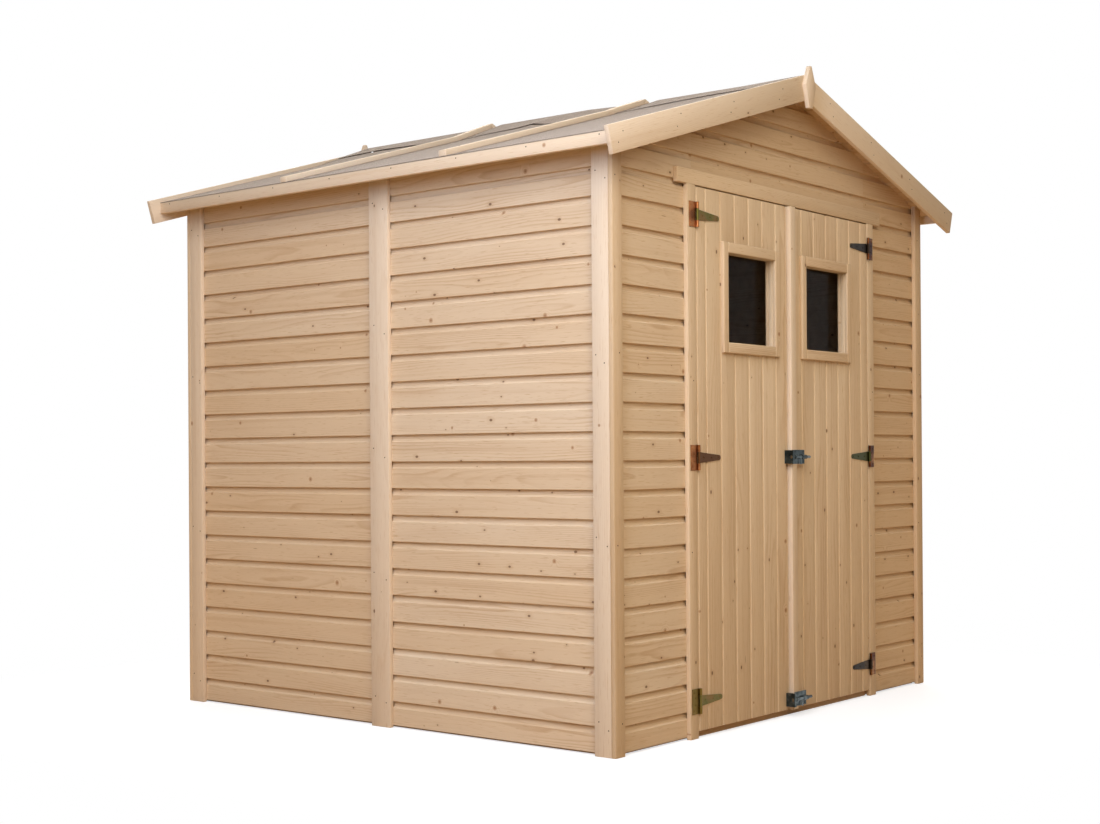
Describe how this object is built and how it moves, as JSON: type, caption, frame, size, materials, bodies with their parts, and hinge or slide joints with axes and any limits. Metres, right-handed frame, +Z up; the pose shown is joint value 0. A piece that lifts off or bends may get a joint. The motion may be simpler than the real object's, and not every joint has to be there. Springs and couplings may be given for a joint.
{
  "type": "garden shed",
  "caption": "Small gabled wooden garden shed with shiplap walls, a felted roof and outward-opening double doors that each have a window, T-hinges and barrel bolts.",
  "frame": {"origin": "middle of the shed's footprint, on the ground it stands on", "axes": "+X along the front to the right, -Y out of the front through the doors, +Z up"},
  "size_m": [2.258, 2.148, 2.2095],
  "materials": {
    "cladding_wood": "planed bare softwood, matte",
    "trim_wood": "planed bare softwood, matte",
    "door_wood": "planed bare softwood, matte",
    "framing_wood": "sawn bare softwood, matte",
    "roof_felt": "mineral-faced bitumen felt, rough",
    "window_glass": "clear, smooth",
    "hinge_steel": "yellow-passivated zinc plate, semi-gloss",
    "bolt_steel": "dark zinc plate, semi-gloss"
  },
  "bodies": {
    "shed": {"left_wall_cladding": "cladding_wood", "right_wall_cladding": "cladding_wood", "front_left_cladding": "cladding_wood", "front_right_cladding": "cladding_wood", "front_gable_cladding": "cladding_wood", "rear_wall_cladding": "cladding_wood", "wall_studs": "framing_wood", "bottom_plates": "framing_wood", "top_plates": "framing_wood", "door_lintel": "framing_wood", "door_sill": "framing_wood", "floor_bearers": "framing_wood", "floor_boards": "framing_wood", "rafters": "framing_wood", "front_corner_trims": "trim_wood", "rear_corner_trims": "trim_wood", "side_corner_trims": "trim_wood", "side_mid_trims": "trim_wood", "rear_mid_trim": "trim_wood", "door_jambs": "trim_wood", "door_header": "trim_wood", "left_roof_boards": "framing_wood", "right_roof_boards": "framing_wood", "left_roof_felt": "roof_felt", "right_roof_felt": "roof_felt", "roof_battens": "trim_wood", "eave_fascias": "trim_wood", "front_bargeboards": "trim_wood", "rear_bargeboards": "trim_wood", "finials": "trim_wood", "left_hinge_plates": "hinge_steel", "right_hinge_plates": "hinge_steel"},
    "left_door": {"left_door_boards": "door_wood", "left_door_ledges": "door_wood", "left_window_frame": "door_wood", "left_window_glass": "window_glass", "left_hinge_straps": "hinge_steel", "bolt_keepers": "bolt_steel"},
    "right_door": {"right_door_boards": "door_wood", "right_door_ledges": "door_wood", "right_window_frame": "door_wood", "right_window_glass": "window_glass", "right_hinge_straps": "hinge_steel", "meeting_strip": "door_wood", "bolt_cases": "bolt_steel"},
    "upper_bolt": {"upper_bolt_rod": "bolt_steel"},
    "lower_bolt": {"lower_bolt_rod": "bolt_steel"}
  },
  "joints": [
    {"name": "left_door_hinge", "type": "hinge", "parent": "shed", "child": "left_door", "pos_m": [-0.5655, -0.986, 0.884], "axis": [0, 0, -1], "range_deg": [0, 160]},
    {"name": "right_door_hinge", "type": "hinge", "parent": "shed", "child": "right_door", "pos_m": [0.5655, -0.986, 0.884], "axis": [0, 0, 1], "range_deg": [0, 160]},
    {"name": "upper_bolt_slide", "type": "slide", "parent": "right_door", "child": "upper_bolt", "axis": [-1, 0, 0], "range_m": [0, 0.026]},
    {"name": "lower_bolt_slide", "type": "slide", "parent": "right_door", "child": "lower_bolt", "axis": [-1, 0, 0], "range_m": [0, 0.026]}
  ]
}
